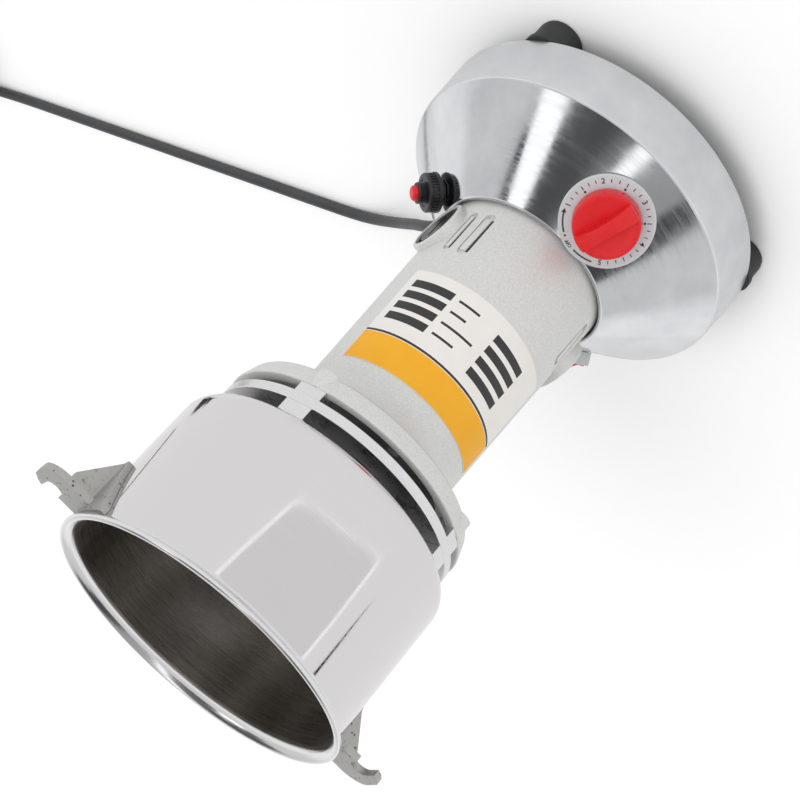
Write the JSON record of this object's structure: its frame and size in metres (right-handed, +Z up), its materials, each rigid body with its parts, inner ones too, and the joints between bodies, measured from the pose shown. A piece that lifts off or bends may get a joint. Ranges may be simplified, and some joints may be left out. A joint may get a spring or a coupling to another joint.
{
  "type": "electric grain mill",
  "caption": "Upright electric grain mill: cone base with minute timer, silver motor housing, slotted cooling ring and open steel bowl with cutting blades and lid claws.",
  "frame": {"origin": "on the surface that the feet stand on, under the axis of the bowl and motor", "axes": "+Z up along the motor axis; the timer dial faces -Y; the lid claws stand on +X and -X; the mains lead leaves towards +Y"},
  "size_m": [0.4485, 0.5563, 0.3037],
  "materials": {
    "polished_base": "polished with fine turning lines",
    "housing_paint": "light silver, fine hammered texture",
    "machined_ring": "bright machined",
    "dial_face": "satin, printed black",
    "bowl_steel": "mirror outside, satin inside",
    "blade_steel": "ground",
    "bright_steel": "zinc plated",
    "dark_steel": "laminated sheet",
    "cast_claw": "cast grey, pitted",
    "plate_steel": "dark grey paint",
    "black_rubber": "matt",
    "cord_rubber": "satin dark grey",
    "black_plastic": "matt",
    "grey_plastic": "matt",
    "red_plastic": "glossy red",
    "white_plastic": "ivory",
    "label_film": "satin film with an amber band",
    "copper": "bare or enamelled copper",
    "brass": "bright",
    "carbon": "pressed carbon"
  },
  "bodies": {
    "frame": {"base_shell": "polished_base", "base_plate": "plate_steel", "base_plate_screws": "bright_steel", "feet": "black_rubber", "foot_screws": "bright_steel", "dial_plate": "dial_face", "timer_case": "white_plastic", "timer_screws": "bright_steel", "breaker_body": "black_plastic", "breaker_collar": "black_plastic", "breaker_nut": "black_plastic", "switch_frame": "grey_plastic", "switch_body": "black_plastic", "terminal_block": "white_plastic", "suppressor": "white_plastic", "cord_gland": "black_rubber", "cord_free": "cord_rubber", "cord_coil": "cord_rubber", "cord_tie": "black_plastic", "plug_body": "black_rubber", "plug_pins": "brass", "motor_housing": "housing_paint", "label": "label_film", "housing_screws": "bright_steel", "lower_bracket": "dark_steel", "lower_bearing": "bright_steel", "upper_bracket": "dark_steel", "bracket_screws": "bright_steel", "upper_bearing": "bright_steel", "brush_holders": "brass", "brushes": "carbon", "brush_springs": "bright_steel", "brush_caps": "black_plastic", "stator_core": "dark_steel", "field_coils": "copper", "cooling_ring": "machined_ring", "seal_hub": "bright_steel", "seal_nut": "bright_steel", "shaft_seal": "black_rubber", "bowl": "bowl_steel", "bowl_screws": "bright_steel", "claw_left": "cast_claw", "claw_right": "cast_claw"},
    "rotor": {"rotor_shaft": "bright_steel", "rotor_core": "dark_steel", "rotor_winding": "copper", "commutator": "copper", "cooling_fan": "black_plastic", "lower_blade": "blade_steel", "blade_spacer": "bright_steel", "upper_blade": "blade_steel", "blade_nut": "bright_steel"},
    "knob": {"timer_knob": "red_plastic", "timer_shaft": "bright_steel"},
    "button": {"reset_button": "red_plastic"},
    "rocker": {"switch_rocker": "red_plastic"}
  },
  "joints": [
    {"name": "rotor_spin", "type": "hinge", "parent": "frame", "child": "rotor", "pos_m": [0, 0, 0], "axis": [0, 0, 1], "continuous": true},
    {"name": "timer_turn", "type": "hinge", "parent": "frame", "child": "knob", "pos_m": [-0.0002, -0.058, 0.06262], "axis": [0.0023, 0.6632, -0.7485], "range_deg": [0, 310]},
    {"name": "reset_press", "type": "slide", "parent": "frame", "child": "button", "axis": [-0.6406, -0.1716, -0.7485], "range_m": [0, 0.0018], "stiffness_N_per_m": 250, "springref_m": -0.0012},
    {"name": "switch_rock", "type": "hinge", "parent": "frame", "child": "rocker", "pos_m": [-0.05545, 0.03465, 0.06209], "axis": [0.5299, 0.848, 0], "range_deg": [0, 16]}
  ]
}
